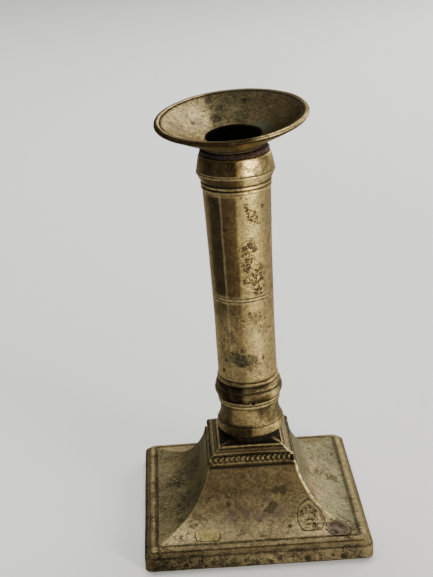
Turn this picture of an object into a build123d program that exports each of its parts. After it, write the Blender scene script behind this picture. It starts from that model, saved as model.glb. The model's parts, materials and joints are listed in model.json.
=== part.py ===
"""Altar candlestick: a square cast brass base, a round column and a lift-out nozzle with a drip pan.

Units are millimetres. +Z is up, +X is right and -Y is the front. The origin is the middle of the
base's underside, on the ground. The column stands slightly out of plumb, so that everything on its
axis is drawn in the column's own frame, with its zero at the seat where the foot meets the base.
"""

from build123d import *
import os

# Base casting: half-sizes are measured from the middle of the base to a flat side.
BASE_HALF = 43.4
BASE_CORNER_R = 3.0
FASCIA_TOP = 5.8
REBATE_HALF = 41.6
BORDER_HALF = 40.5
BORDER_TOP = 7.9
LINE_HALF = 38.4
LINE_WIDTH = 0.5
LINE_DEPTH = 0.35
NECK_HALF = 17.4
NECK_TOP = 28.1
BAND_BOTTOM_HALF = 17.0
BAND_TOP_HALF = 16.1
BAND_TOP = 32.0
STEP_HALF = 13.8
STEP_TOP = 33.5
PLATFORM_HALF = 12.0
PLATFORM_TOP = 35.0
WALL = 2.6
CEILING = 31.2

# Beads round the top of the base.
BEADS_PER_SIDE = 17
BEAD_R = 0.85
BEAD_BOTTOM = 29.1
BEAD_TOP = 31.8
BEAD_CENTRE_HALF = 16.35

# Repairs let into the slope of the base.
PATCH_DEPTH = 1.3
PATCH_PROUD = 0.12
LEFT_PATCH = (-18.4, -34.3)
LEFT_PATCH_SIZE = (9.8, 7.4)
SOLDER = (31.4, -35.4)
SOLDER_SIZE = (8.4, 6.6)
SOLDER_DEPTH = 0.8

# Column axis.
SEAT_Z = 38.4
SEAT_X = 0.87
LEAN_DEG = 1.2

# Foot of the column, heights above the seat.
FOOT_BORE_R = 9.75
FOOT_WEB = 3.0
FOOT_TOP = 22.4
BOSS_R = 10.6

# Locking pin in the foot.
PIN_HEIGHT = 14.7
PIN_AZIMUTH = 273.5
PIN_R = 0.95
PIN_HOLE_R = 1.0
PIN_INNER = 7.9
PIN_OUTER = 12.2
PIN_DRILL = (6.4, 15.0)

# Shaft.
SHAFT_R_BOTTOM = 11.5
SHAFT_R_TOP = 12.8
SHAFT_TOP = 98.4
SHAFT_STRAIGHT = 43.0
SPIGOT_R = 9.7
SPIGOT_BOTTOM = 5.6
SPIGOT_BORE_R = 8.3
SHAFT_BORE_R = 9.9
SHAFT_END = 107.4
SHAFT_END_R = 12.3
RING_LINES = (56.1, 57.4)
RING_LINE_WIDTH = 0.4
RING_LINE_R = 11.4

# Nozzle and the bore that takes it.
NOZZLE_BORE_R = 11.65
NOZZLE_BORE_BOTTOM = 86.0
SLEEVE_R = 11.6
SLEEVE_BORE_R = 10.95
SLEEVE_BOTTOM = 93.0
SOCKET_R = 10.9
SOCKET_BORE_R = 10.2
SOCKET_BOTTOM = 89.0
SOCKET_TOP_STOCK = 128.0
SOCKET_FLOOR = 1.2
SOCKET_MOUTH_R = 10.65
MOUTH_TAPER = 0.8
MOUTH_DEPTH = 1.4
SOCKET_PROUD = 0.25

# Collar.
COLLAR_TOP = 111.7
COLLAR_BORE_R = 12.35

# Packing flange between the collar's lip and the pan.
FLANGE_R = 12.9
FLANGE_TOP = COLLAR_TOP + 1.9

# Drip pan: heights are in the pan's own tilted frame, above its neck.
PAN_GAP = 0.15
PAN_NECK_R = 12.6
PAN_R = 28.35
PAN_RIM_TOP = 10.8
PAN_LINE_R = 25.9
PAN_DISH_FLOOR = 2.5
PAN_SLOPE_X = 0.045
PAN_SLOPE_Y = 0.100

# Bolt that ties the column to the base, heights above the seat.
BOLT_R = 3.0
BOLT_HOLE_R = 3.15
BOLT_HEAD_R = 5.5
BOLT_HEAD = 3.0
BOLT_SLOT_WIDTH = 1.2
BOLT_SLOT_DEPTH = 1.0
PAD_R = 8.5
PAD_BOTTOM = -9.0
WASHER_R = 7.5
WASHER = 1.4
NUT_ACROSS = 11.0
NUT = 4.0
BOLT_END = -16.6

column = Pos(SEAT_X, 0, SEAT_Z) * Rot(0, -LEAN_DEG, 0)


def turned(edges):
    """Solid of revolution about +Z from a closed outline of edges in the XZ plane."""
    outline = Plane.XZ * make_face(Curve() + edges)
    return revolve(outline, Axis.Z)


def ring(outer_r, inner_r, low, high):
    """Plain tube between two heights."""
    tube = Cylinder(outer_r, high - low, align=(Align.CENTER, Align.CENTER, Align.MIN))
    tube -= Cylinder(inner_r, high - low, align=(Align.CENTER, Align.CENTER, Align.MIN))
    return Pos(0, 0, low) * tube


def disc(radius, low, high):
    """Plain cylinder between two heights."""
    return Pos(0, 0, low) * Cylinder(radius, high - low, align=(Align.CENTER, Align.CENTER, Align.MIN))


def mitred(edges, half):
    """Four-sided solid: one half-outline, mirrored, run along both X and Y, and kept where both meet."""
    side = Curve() + edges
    outline = make_face(side + mirror(side, Plane.YZ))
    along_y = extrude(Plane.XZ * outline, half, both=True)
    along_x = extrude(Plane.YZ * outline, half, both=True)
    return along_y & along_x


def base_outline():
    """Half-outline of the base from the middle of its underside to the middle of its platform."""
    fascia = Polyline((0, 0), (BASE_HALF, 0), (BASE_HALF, FASCIA_TOP), (REBATE_HALF, FASCIA_TOP + 0.2))
    bevel = ThreePointArc(
        (REBATE_HALF, FASCIA_TOP + 0.2),
        (REBATE_HALF - 0.2, FASCIA_TOP + 1.5),
        (BORDER_HALF, BORDER_TOP),
    )
    border = Polyline(
        (BORDER_HALF, BORDER_TOP),
        (LINE_HALF + LINE_WIDTH, BORDER_TOP),
        (LINE_HALF + LINE_WIDTH / 2, BORDER_TOP - LINE_DEPTH),
        (LINE_HALF, BORDER_TOP),
    )
    rise = Spline(
        (LINE_HALF, BORDER_TOP),
        (27.3, 11.6),
        (21.2, 18.1),
        (NECK_HALF, NECK_TOP),
        tangents=((-1, 0.1), (-0.07, 1)),
    )
    band = Polyline(
        (NECK_HALF, NECK_TOP),
        (NECK_HALF - 0.5, NECK_TOP + 0.3),
        (BAND_BOTTOM_HALF - 0.5, NECK_TOP + 0.8),
        (BAND_TOP_HALF - 0.5, BAND_TOP - 0.2),
        (BAND_TOP_HALF, BAND_TOP),
        (STEP_HALF + 0.6, BAND_TOP + 0.5),
        (STEP_HALF, STEP_TOP),
        (PLATFORM_HALF, STEP_TOP + 0.3),
        (PLATFORM_HALF, PLATFORM_TOP),
        (0, PLATFORM_TOP),
    )
    return [fascia, bevel, border, rise, band]


def hollow_outline():
    """Half-outline of the hollow under the base, one wall inside the outer form."""
    skirt = Polyline((0, -1), (BASE_HALF - WALL, -1), (BASE_HALF - WALL, 3.2), (37.2, 5.3))
    inside = Spline(
        (37.2, 5.3),
        (26.1, 9.2),
        (19.0, 16.4),
        (NECK_HALF - WALL, NECK_TOP),
        tangents=((-1, 0.1), (-0.07, 1)),
    )
    top = Polyline((NECK_HALF - WALL, NECK_TOP), (NECK_HALF - WALL - 1.6, CEILING), (0, CEILING))
    return [skirt, inside, top]


def bead_row():
    """Upright beads along all four sides of the band."""
    middle = (BEAD_BOTTOM + BEAD_TOP) / 2
    stem = BEAD_TOP - BEAD_BOTTOM - 2 * BEAD_R
    bead = Cylinder(BEAD_R, stem)
    for end in (-stem / 2, stem / 2):
        bead += Pos(0, 0, end) * Sphere(BEAD_R)
    pitch = 2 * BEAD_CENTRE_HALF / (BEADS_PER_SIDE - 1)
    beads = []
    for side in range(4):
        for index in range(BEADS_PER_SIDE - 1):
            along = -BEAD_CENTRE_HALF + pitch * index
            beads.append(Rot(0, 0, 90 * side) * Pos(along, -BEAD_CENTRE_HALF, middle) * bead)
    return beads


def outer_form():
    """Outside of the base casting, with rounded corners on the fascia."""
    form = mitred(base_outline(), BASE_HALF)
    plan = RectangleRounded(2 * BASE_HALF, 2 * BASE_HALF, BASE_CORNER_R)
    return form & extrude(plan, PLATFORM_TOP)


def repair_plans():
    """Outlines of the three repairs, looking down on the base, with how deep each is let in."""
    left = Pos(*LEFT_PATCH) * RectangleRounded(*LEFT_PATCH_SIZE, 0.8)
    corner = make_face(
        FilletPolyline(
            (15.7, -30.0),
            (16.4, -25.0),
            (21.0, -22.6),
            (25.4, -26.8),
            (26.8, -30.6),
            (24.6, -35.0),
            (17.2, -35.2),
            radius=1.4,
            close=True,
        )
    )
    solder = Pos(*SOLDER) * Rot(0, 0, -40) * Ellipse(SOLDER_SIZE[0] / 2, SOLDER_SIZE[1] / 2)
    return {
        "left_patch": (left, PATCH_DEPTH),
        "corner_patch": (corner, PATCH_DEPTH),
        "corner_solder": (solder, SOLDER_DEPTH),
    }


def base_and_repairs():
    """Base casting with its recesses, and the repairs that fill them."""
    form = outer_form()
    pieces = {}
    casting = form - mitred(hollow_outline(), BASE_HALF - WALL)
    for name, (plan, depth) in repair_plans().items():
        prism = extrude(plan, PLATFORM_TOP)
        recess = prism - Pos(0, 0, -depth) * form
        pieces[name] = recess & (Pos(0, 0, PATCH_PROUD) * form)
        casting -= recess
    boss = column * disc(BOSS_R, PLATFORM_TOP - SEAT_Z - 1, 0)
    pad = column * disc(PAD_R, PAD_BOTTOM, CEILING - SEAT_Z + 1)
    bolt_hole = column * disc(BOLT_HOLE_R, PAD_BOTTOM - 1, 1)
    casting = casting + boss + pad + bead_row() - bolt_hole
    return {"base_casting": casting, **pieces}


def foot_pin_hole():
    """Drill that goes through the foot and the shaft's spigot at the pin."""
    return pin_rod(PIN_HOLE_R, *PIN_DRILL)


def pin_rod(radius, inner, outer):
    """Round rod pointing outward from the column's axis, in the pin's direction."""
    rod = Rot(0, 90, 0) * disc(radius, inner, outer)
    return Pos(0, 0, PIN_HEIGHT) * Rot(0, 0, PIN_AZIMUTH) * rod


def column_foot():
    """Turned foot: flange, cavetto neck, two fine rings, torus, groove and top lip."""
    edges = [
        Polyline((BOLT_HOLE_R, 0), (12.9, 0), (13.15, 0.3), (13.1, 3.2), (12.6, 4.2)),
        ThreePointArc((12.6, 4.2), (11.5, 7.9), (11.9, 11.4)),
        Polyline((11.9, 11.4), (12.05, 11.6), (12.05, 12.45), (11.8, 12.6)),
        Polyline((11.8, 12.6), (11.8, 12.75), (12.3, 12.95), (12.3, 13.8), (12.1, 13.95)),
        ThreePointArc((12.1, 13.95), (13.25, 16.0), (12.85, 18.3)),
        ThreePointArc((12.85, 18.3), (12.5, 19.8), (11.75, 20.9)),
        Polyline((11.75, 20.9), (12.0, 21.2), (12.0, 22.1), (11.75, FOOT_TOP)),
        Polyline((11.75, FOOT_TOP), (FOOT_BORE_R, FOOT_TOP), (FOOT_BORE_R, FOOT_WEB)),
        Polyline((FOOT_BORE_R, FOOT_WEB), (BOLT_HOLE_R, FOOT_WEB), (BOLT_HOLE_R, 0)),
    ]
    return turned(edges) - foot_pin_hole()


def column_shaft():
    """Tube with a spigot at each end, widening upward, with two incised lines at mid-height."""
    widening = Spline(
        (SHAFT_R_BOTTOM, SHAFT_STRAIGHT),
        (12.2, 83.6),
        (SHAFT_R_TOP, SHAFT_TOP),
        tangents=((0, 1), (0.05, 1)),
    )
    edges = [
        Polyline((SPIGOT_BORE_R, SPIGOT_BOTTOM), (SPIGOT_R, SPIGOT_BOTTOM), (SPIGOT_R, FOOT_TOP)),
        Polyline((SPIGOT_R, FOOT_TOP), (SHAFT_R_BOTTOM, FOOT_TOP), (SHAFT_R_BOTTOM, SHAFT_STRAIGHT)),
        widening,
        Polyline((SHAFT_R_TOP, SHAFT_TOP), (SHAFT_END_R, SHAFT_TOP), (SHAFT_END_R, SHAFT_END)),
        Polyline((SHAFT_END_R, SHAFT_END), (NOZZLE_BORE_R, SHAFT_END), (NOZZLE_BORE_R, NOZZLE_BORE_BOTTOM)),
        Polyline((NOZZLE_BORE_R, NOZZLE_BORE_BOTTOM), (SHAFT_BORE_R, NOZZLE_BORE_BOTTOM - 2.0)),
        Polyline((SHAFT_BORE_R, NOZZLE_BORE_BOTTOM - 2.0), (SHAFT_BORE_R, FOOT_TOP + 3.0)),
        Polyline((SHAFT_BORE_R, FOOT_TOP + 3.0), (SPIGOT_BORE_R, FOOT_TOP), (SPIGOT_BORE_R, SPIGOT_BOTTOM)),
    ]
    shaft = turned(edges) - foot_pin_hole()
    for height in RING_LINES:
        shaft -= ring(2 * RING_LINE_R, RING_LINE_R, height, height + RING_LINE_WIDTH)
    return shaft


def column_collar():
    """Collar soldered over the shaft's head: bead lines, a swelling with a ridge, and a plain lip."""
    edges = [
        Polyline((COLLAR_BORE_R, SHAFT_TOP), (12.8, SHAFT_TOP), (13.0, SHAFT_TOP + 0.3)),
        ThreePointArc((13.0, SHAFT_TOP + 0.3), (13.1, SHAFT_TOP + 0.9), (12.85, SHAFT_TOP + 1.5)),
        ThreePointArc((12.85, SHAFT_TOP + 1.5), (13.2, SHAFT_TOP + 2.3), (12.95, SHAFT_TOP + 3.1)),
        ThreePointArc((12.95, SHAFT_TOP + 3.1), (14.0, 102.9), (14.6, 104.4)),
        Polyline((14.6, 104.4), (14.7, 104.8), (14.6, 105.1), (14.35, 105.3), (14.45, 105.7)),
        ThreePointArc((14.45, 105.7), (14.05, 108.4), (13.3, 111.3)),
        Polyline((13.3, 111.3), (13.1, COLLAR_TOP), (NOZZLE_BORE_R, COLLAR_TOP)),
        Polyline((NOZZLE_BORE_R, COLLAR_TOP), (NOZZLE_BORE_R, SHAFT_END), (COLLAR_BORE_R, SHAFT_END)),
        Line((COLLAR_BORE_R, SHAFT_END), (COLLAR_BORE_R, SHAFT_TOP)),
    ]
    return turned(edges)


def packing_sleeve():
    """Packing round the nozzle, with the part that is squeezed out over the collar's lip."""
    sleeve = ring(SLEEVE_R, SLEEVE_BORE_R, SLEEVE_BOTTOM, FLANGE_TOP)
    return sleeve + ring(FLANGE_R, SLEEVE_BORE_R, COLLAR_TOP, FLANGE_TOP)


def pan_frame():
    """Place of the pan in the column's frame: bent out of square, its lowest point just over the packing."""
    slope = (PAN_SLOPE_X**2 + PAN_SLOPE_Y**2) ** 0.5
    neck_z = FLANGE_TOP + PAN_GAP + PAN_NECK_R * slope
    tilted = Plane(origin=(0, 0, neck_z), x_dir=(1, 0, PAN_SLOPE_X), z_dir=(-PAN_SLOPE_X, -PAN_SLOPE_Y, 1))
    return Location(tilted)


def drip_pan():
    """Conical pan with a short neck, a flat border inside a scribed line and a rounded edge."""
    edges = [
        Polyline((8, 0), (PAN_NECK_R, 0), (PAN_NECK_R + 0.3, 0.4), (PAN_NECK_R + 0.1, 0.9)),
        ThreePointArc((PAN_NECK_R + 0.1, 0.9), (20.0, 4.6), (PAN_R - 0.8, PAN_RIM_TOP - 1.7)),
        ThreePointArc(
            (PAN_R - 0.8, PAN_RIM_TOP - 1.7),
            (PAN_R, PAN_RIM_TOP - 0.7),
            (PAN_R - 0.5, PAN_RIM_TOP),
        ),
        Polyline(
            (PAN_R - 0.5, PAN_RIM_TOP),
            (PAN_LINE_R + 0.4, PAN_RIM_TOP - 0.25),
            (PAN_LINE_R + 0.1, PAN_RIM_TOP - 0.65),
            (PAN_LINE_R - 0.3, PAN_RIM_TOP - 0.5),
        ),
        ThreePointArc((PAN_LINE_R - 0.3, PAN_RIM_TOP - 0.5), (18.0, 5.7), (11.2, PAN_DISH_FLOOR)),
        Polyline((11.2, PAN_DISH_FLOOR), (8, PAN_DISH_FLOOR), (8, 0)),
    ]
    pan = pan_frame() * turned(edges)
    return pan - disc(SOCKET_R, SOCKET_BOTTOM, SOCKET_TOP_STOCK)


def candle_socket():
    """Tube for the candle, with its mouth opened out and trimmed parallel to the pan."""
    tube = ring(SOCKET_R, SOCKET_BORE_R, SOCKET_BOTTOM, SOCKET_TOP_STOCK)
    rim = PAN_DISH_FLOOR + SOCKET_PROUD
    tube -= pan_frame() * disc(PAN_R, rim, rim + SOCKET_TOP_STOCK)
    mouth = Cone(SOCKET_MOUTH_R - MOUTH_TAPER, SOCKET_MOUTH_R, MOUTH_DEPTH)
    return tube - pan_frame() * Pos(0, 0, rim - MOUTH_DEPTH / 2) * mouth


def tie_bolt():
    """Bolt with a low round head, slotted, that stands on the foot's web and points down."""
    head = disc(BOLT_HEAD_R, FOOT_WEB, FOOT_WEB + BOLT_HEAD)
    head -= Pos(0, 0, FOOT_WEB + BOLT_HEAD) * Box(3 * BOLT_HEAD_R, BOLT_SLOT_WIDTH, 2 * BOLT_SLOT_DEPTH)
    return head + disc(BOLT_R, BOLT_END, FOOT_WEB)


def tie_nut():
    """Square nut with its hole."""
    low = PAD_BOTTOM - WASHER - NUT
    nut = extrude(Rectangle(NUT_ACROSS, NUT_ACROSS), NUT)
    return Pos(0, 0, low) * nut - disc(BOLT_R, low, low + NUT)


def on_column(solid):
    """Piece moved from the column's frame to the candlestick's."""
    return column * solid


def main():
    """Builds every piece and writes one STEP file for each."""
    pieces = base_and_repairs()
    pieces["column_foot"] = on_column(column_foot())
    pieces["foot_pin"] = on_column(pin_rod(PIN_R, PIN_INNER, PIN_OUTER))
    pieces["column_shaft"] = on_column(column_shaft())
    pieces["column_collar"] = on_column(column_collar())
    pieces["packing_sleeve"] = on_column(packing_sleeve())
    pieces["drip_pan"] = on_column(drip_pan())
    pieces["candle_socket"] = on_column(candle_socket())
    pieces["socket_floor"] = on_column(disc(SOCKET_R, SOCKET_BOTTOM - SOCKET_FLOOR, SOCKET_BOTTOM))
    pieces["tie_bolt"] = on_column(tie_bolt())
    pieces["tie_washer"] = on_column(ring(WASHER_R, BOLT_HOLE_R, PAD_BOTTOM - WASHER, PAD_BOTTOM))
    pieces["tie_nut"] = on_column(tie_nut())
    os.makedirs("parts", exist_ok=True)
    for name, piece in pieces.items():
        export_step(piece, f"parts/{name}.step")


main()
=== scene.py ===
"""Looks of the altar candlestick: worn, patinated cast brass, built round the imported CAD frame.

Outlines are in millimetres: the base's are (half-size or radius, height above the ground), the
column's and the nozzle's are (radius, height above the foot's seat) in the column's leaning frame.
"""
import json
import math
import random

import bmesh
import bpy
from mathutils import Matrix, Vector, noise


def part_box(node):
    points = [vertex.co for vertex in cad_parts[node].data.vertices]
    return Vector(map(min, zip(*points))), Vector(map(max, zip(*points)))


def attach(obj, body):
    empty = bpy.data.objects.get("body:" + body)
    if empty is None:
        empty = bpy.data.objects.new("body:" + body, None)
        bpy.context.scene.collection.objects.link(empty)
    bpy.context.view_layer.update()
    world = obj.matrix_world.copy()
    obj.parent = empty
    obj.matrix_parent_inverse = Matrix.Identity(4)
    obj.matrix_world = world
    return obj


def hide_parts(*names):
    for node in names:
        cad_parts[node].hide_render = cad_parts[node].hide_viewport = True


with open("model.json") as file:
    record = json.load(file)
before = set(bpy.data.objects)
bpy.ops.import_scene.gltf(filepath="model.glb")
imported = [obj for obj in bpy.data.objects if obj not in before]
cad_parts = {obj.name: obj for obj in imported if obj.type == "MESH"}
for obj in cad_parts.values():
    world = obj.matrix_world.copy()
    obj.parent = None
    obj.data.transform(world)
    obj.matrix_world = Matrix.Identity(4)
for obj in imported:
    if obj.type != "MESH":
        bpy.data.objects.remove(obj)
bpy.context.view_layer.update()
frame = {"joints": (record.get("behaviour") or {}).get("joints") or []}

MM = 0.001
random.seed(7)

# ---------------------------------------------------------------- the frame

TURN_JOINT = next(joint for joint in frame["joints"] if joint["name"] == "nozzle_turn")
COLUMN_AXIS = Vector(TURN_JOINT["axis"]).normalized()
PIVOT = Vector(TURN_JOINT["pos_m"])
PIVOT_ABOVE_SEAT = 100.0
SEAT = PIVOT - COLUMN_AXIS * PIVOT_ABOVE_SEAT * MM
LEAN = Vector((0, 0, 1)).rotation_difference(COLUMN_AXIS).to_matrix().to_4x4()
COLUMN = Matrix.Translation(SEAT) @ LEAN
BASE_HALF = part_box("base_casting")[1].x / MM

# ---------------------------------------------------------------- camera, floor and light

CAMERA_PLACE = (-0.0243, -0.4320, 0.2691)
CAMERA_YAW, CAMERA_PITCH, CAMERA_ROLL = 0.0323, 0.3802, 0.0462
CAMERA_LENS, CAMERA_SENSOR, CAMERA_NEAREST = 76.09, 36.0, 0.01
FLOOR_HALF = 3.0
SURROUNDINGS_COLOUR = (1.0, 0.97, 0.93, 1)
SURROUNDINGS_STRENGTH = 0.22
LIGHTS_AIM = (0, 0, 0.08)
# Soft lights: name, place, width and height, power and colour.
LIGHTS = [
    ("low key", (0.62, -0.74, 0.20), (0.26, 0.42), 12, (1.0, 0.97, 0.90)),
    ("far window", (0.95, 1.05, 0.42), (0.8, 0.7), 13, (1.0, 0.98, 0.95)),
    ("left strip", (-0.79, -0.48, 0.16), (0.035, 0.5), 0.9, (1.0, 0.96, 0.9)),
    ("overhead", (-0.1, 0.7, 1.6), (1.4, 1.0), 30, (1.0, 1.0, 1.0)),
]


def add_camera():
    """Camera looking down on the candlestick, a little from its left, with a slight roll."""
    camera = bpy.data.objects.new("camera", bpy.data.cameras.new("camera"))
    camera.data.lens = CAMERA_LENS
    camera.data.sensor_width = CAMERA_SENSOR
    camera.data.clip_start = CAMERA_NEAREST
    tilt = Matrix.Rotation(math.pi / 2 - CAMERA_PITCH, 4, "X")
    turn = Matrix.Rotation(-CAMERA_YAW, 4, "Z") @ tilt @ Matrix.Rotation(-CAMERA_ROLL, 4, "Z")
    camera.matrix_world = Matrix.Translation(CAMERA_PLACE) @ turn
    bpy.context.scene.collection.objects.link(camera)
    bpy.context.scene.camera = camera


def add_area_light(name, place, size, power, colour):
    """Rectangular soft light that points at the candlestick's middle."""
    data = bpy.data.lights.new(name, "AREA")
    data.shape = "RECTANGLE"
    data.size, data.size_y = size
    data.energy = power
    data.color = colour
    light = bpy.data.objects.new(name, data)
    light.location = place
    aim = Vector(LIGHTS_AIM) - Vector(place)
    light.rotation_euler = aim.to_track_quat("-Z", "Y").to_euler()
    light.visible_camera = False
    bpy.context.scene.collection.objects.link(light)


def add_studio():
    """Pale floor, pale dim surroundings and the soft lights."""
    mesh = bpy.data.meshes.new("floor")
    ends = (-FLOOR_HALF, FLOOR_HALF)
    mesh.from_pydata([(x, y, 0) for y in ends for x in ends], [], [(0, 1, 3, 2)])
    floor = bpy.data.objects.new("floor", mesh)
    bpy.context.scene.collection.objects.link(floor)
    floor.data.materials.append(floor_material())

    world = bpy.data.worlds.new("surroundings")
    bpy.context.scene.world = world
    world.use_nodes = True
    background = world.node_tree.nodes["Background"]
    background.inputs["Color"].default_value = SURROUNDINGS_COLOUR
    background.inputs["Strength"].default_value = SURROUNDINGS_STRENGTH
    for light in LIGHTS:
        add_area_light(*light)


def floor_material():
    """Matt off-white paper with a very faint tooth."""
    tree = Tree("floor paper")
    tooth = tree.noise(900.0, 3.0)
    colour = tree.ramp(tooth, [(0.3, (0.90, 0.90, 0.895)), (0.7, (0.93, 0.93, 0.925))])
    return tree.finished(colour, 0.9, 0.0, tree.bump(tooth, 0.02, 0.0002))


# ---------------------------------------------------------------- material building


class Value:
    """What a node gives out at each point of a surface. Arithmetic on it makes the nodes it needs."""

    def __init__(self, tree, socket):
        self.tree = tree
        self.socket = socket

    def __add__(self, other):
        return self.tree.math("ADD", self, other)

    def __sub__(self, other):
        return self.tree.math("SUBTRACT", self, other)

    def __mul__(self, other):
        return self.tree.math("MULTIPLY", self, other)

    def __truediv__(self, other):
        return self.tree.math("DIVIDE", self, other)

    def __abs__(self):
        return self.tree.math("ABSOLUTE", self)

    def root(self):
        """Square root."""
        return self.tree.math("SQRT", self)

    def most(self, other):
        """The greater of two values."""
        return self.tree.math("MAXIMUM", self, other)

    def clamped(self):
        """The same value, kept from 0 to 1 by its own node."""
        self.socket.node.use_clamp = True
        return self


class Tree:
    """A material, and short names for its nodes. All coordinates are the object's own, in metres."""

    def __init__(self, name):
        self.material = bpy.data.materials.new(name)
        self.material.use_nodes = True
        self.nodes = self.material.node_tree.nodes
        self.shader = self.nodes["Principled BSDF"]
        self.place = self.node("TexCoord", {}, "Object")
        self.facing = self.node("TexCoord", {}, "Normal")

    def put(self, socket, value):
        """Links a value to a socket, or sets a constant on it."""
        if isinstance(value, Value):
            self.material.node_tree.links.new(value.socket, socket)
        elif socket.type == "RGBA":
            socket.default_value = (*value, 1.0)
        else:
            socket.default_value = value

    def node(self, kind, inputs, output=0, **settings):
        """Makes a node from its inputs and settings, and gives the value of one of its outputs."""
        node = self.nodes.new("ShaderNode" + kind)
        for name, value in settings.items():
            setattr(node, name, value)
        for name, value in inputs.items():
            self.put(node.inputs[name], value)
        return Value(self, node.outputs[output])

    def noise(self, scale, detail=4.0, rough=0.55, warp=0.0, place=None, output="Fac"):
        """Fractal noise from 0 to 1. Its Color output is three such noises, as a vector."""
        return self.node("TexNoise", {
            "Vector": place or self.place, "Scale": scale, "Detail": detail, "Roughness": rough,
            "Distortion": warp,
        }, output)

    def cells(self, scale):
        """Distance to the nearest of many scattered points."""
        return self.node("TexVoronoi", {"Vector": self.place, "Scale": scale}, "Distance")

    def math(self, operation, first, second=0.0):
        """One arithmetic step."""
        return self.node("Math", {0: first, 1: second}, operation=operation)

    def vector(self, operation, first, second):
        """One step with two vectors, which gives a vector."""
        return self.node("VectorMath", {0: first, 1: tuple(second)}, "Vector", operation=operation)

    def dot(self, first, second):
        """Dot product with a constant vector."""
        inputs = {0: first, 1: tuple(second)}
        return self.node("VectorMath", inputs, "Value", operation="DOT_PRODUCT")

    def length(self, value):
        """Length of a vector."""
        return self.node("VectorMath", {0: value}, "Value", operation="LENGTH")

    def part(self, value, index):
        """One component of a vector."""
        return self.node("SeparateXYZ", {0: value}, index)

    def step(self, value, low, high):
        """0 below low, 1 above high, smooth between. Low may be above high, which turns it over."""
        start, end = (0.0, 1.0) if low < high else (1.0, 0.0)
        return self.node("MapRange", {
            "Value": value, "From Min": min(low, high), "From Max": max(low, high),
            "To Min": start, "To Max": end,
        }, "Result", interpolation_type="SMOOTHSTEP")

    def ramp(self, value, stops):
        """Colour ramp."""
        result = self.node("ValToRGB", {"Fac": value}, "Color")
        elements = result.socket.node.color_ramp.elements
        while len(elements) < len(stops):
            elements.new(0.5)
        for element, (position, colour) in zip(elements, stops):
            element.position = position
            element.color = (*colour, 1.0)
        return result

    def mix(self, share, first, second):
        """Colour mix: first where share is 0, second where it is 1."""
        return self.node("Mix", {"Factor": share, 6: first, 7: second}, 2, data_type="RGBA")

    def tint(self, colour, shade):
        """Two colours multiplied."""
        inputs = {"Factor": 1.0, 6: colour, 7: shade}
        return self.node("Mix", inputs, 2, data_type="RGBA", blend_type="MULTIPLY")

    def attribute(self, name):
        """Number that a mesh carries on its points."""
        return self.node("Attribute", {}, "Fac", attribute_name=name)

    def bump(self, height, strength, distance):
        """Surface relief."""
        inputs = {"Height": height, "Strength": strength, "Distance": distance}
        return self.node("Bump", inputs, "Normal")

    def finished(self, colour, roughness, metallic, bump):
        """The material, with the finished values connected to its shader."""
        self.put(self.shader.inputs["Base Color"], colour)
        self.put(self.shader.inputs["Roughness"], roughness)
        self.put(self.shader.inputs["Metallic"], metallic)
        self.put(self.shader.inputs["Normal"], bump)
        return self.material

    def round_column(self, wobble):
        """Where a point is round the column: rightness from 0 to 1, nearness from -1 to 1, height in mm."""
        offset = self.vector("SUBTRACT", self.place, SEAT)
        right = self.dot(offset, LEAN @ Vector((1, 0, 0)))
        back = self.dot(offset, (0.0, 1.0, 0.0))
        up = self.dot(offset, COLUMN_AXIS) / MM
        radius = (right * right + back * back).root()
        drift = (self.noise(55.0, 5.0, 0.62) - 0.5) * wobble
        across = (right / radius + drift) * 0.5 + 0.5
        return across, back * -1.0 / radius, up

    def blots(self, spots, ragged, fineness=420.0):
        """Mask of ragged blots: each spot is a place in millimetres, a radius and a strength."""
        noises = self.noise(fineness, 4.0, 0.5, output="Color")
        wander = self.vector("SUBTRACT", noises, (0.5, 0.5, 0.5))
        shake = {0: wander, "Scale": ragged * MM}
        shake = self.node("VectorMath", shake, "Vector", operation="SCALE")
        place = self.node("VectorMath", {0: self.place, 1: shake}, "Vector", operation="ADD")
        total = None
        for centre, radius, strength in spots:
            offset = self.vector("SUBTRACT", place, Vector(centre) * MM)
            mask = self.step(self.length(offset), radius * MM, radius * 0.55 * MM) * strength
            total = total.most(mask) if total else mask
        return total


# ---------------------------------------------------------------- brass

# Linear colours of the old brass, from nearly black patina to rubbed metal; the blackest also paints shade
# and the palest also paints highlights.
BLACK_PATINA_AND_SHADE = (0.012, 0.009, 0.006)
DARK = (0.048, 0.037, 0.021)
UMBER = (0.100, 0.077, 0.043)
OLIVE = (0.180, 0.144, 0.080)
TAN = (0.32, 0.260, 0.145)
SAND = (0.54, 0.422, 0.190)
WORN_AND_HIGHLIGHT = (0.80, 0.66, 0.37)
VERDIGRIS = (0.030, 0.038, 0.025)
PINK = (0.150, 0.105, 0.088)
PATINA = [(0.24, DARK), (0.36, UMBER), (0.46, OLIVE), (0.56, TAN), (0.67, SAND), (0.82, WORN_AND_HIGHLIGHT)]
BRASS_SPECULAR_TINT = (0.62, 0.57, 0.48)


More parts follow.
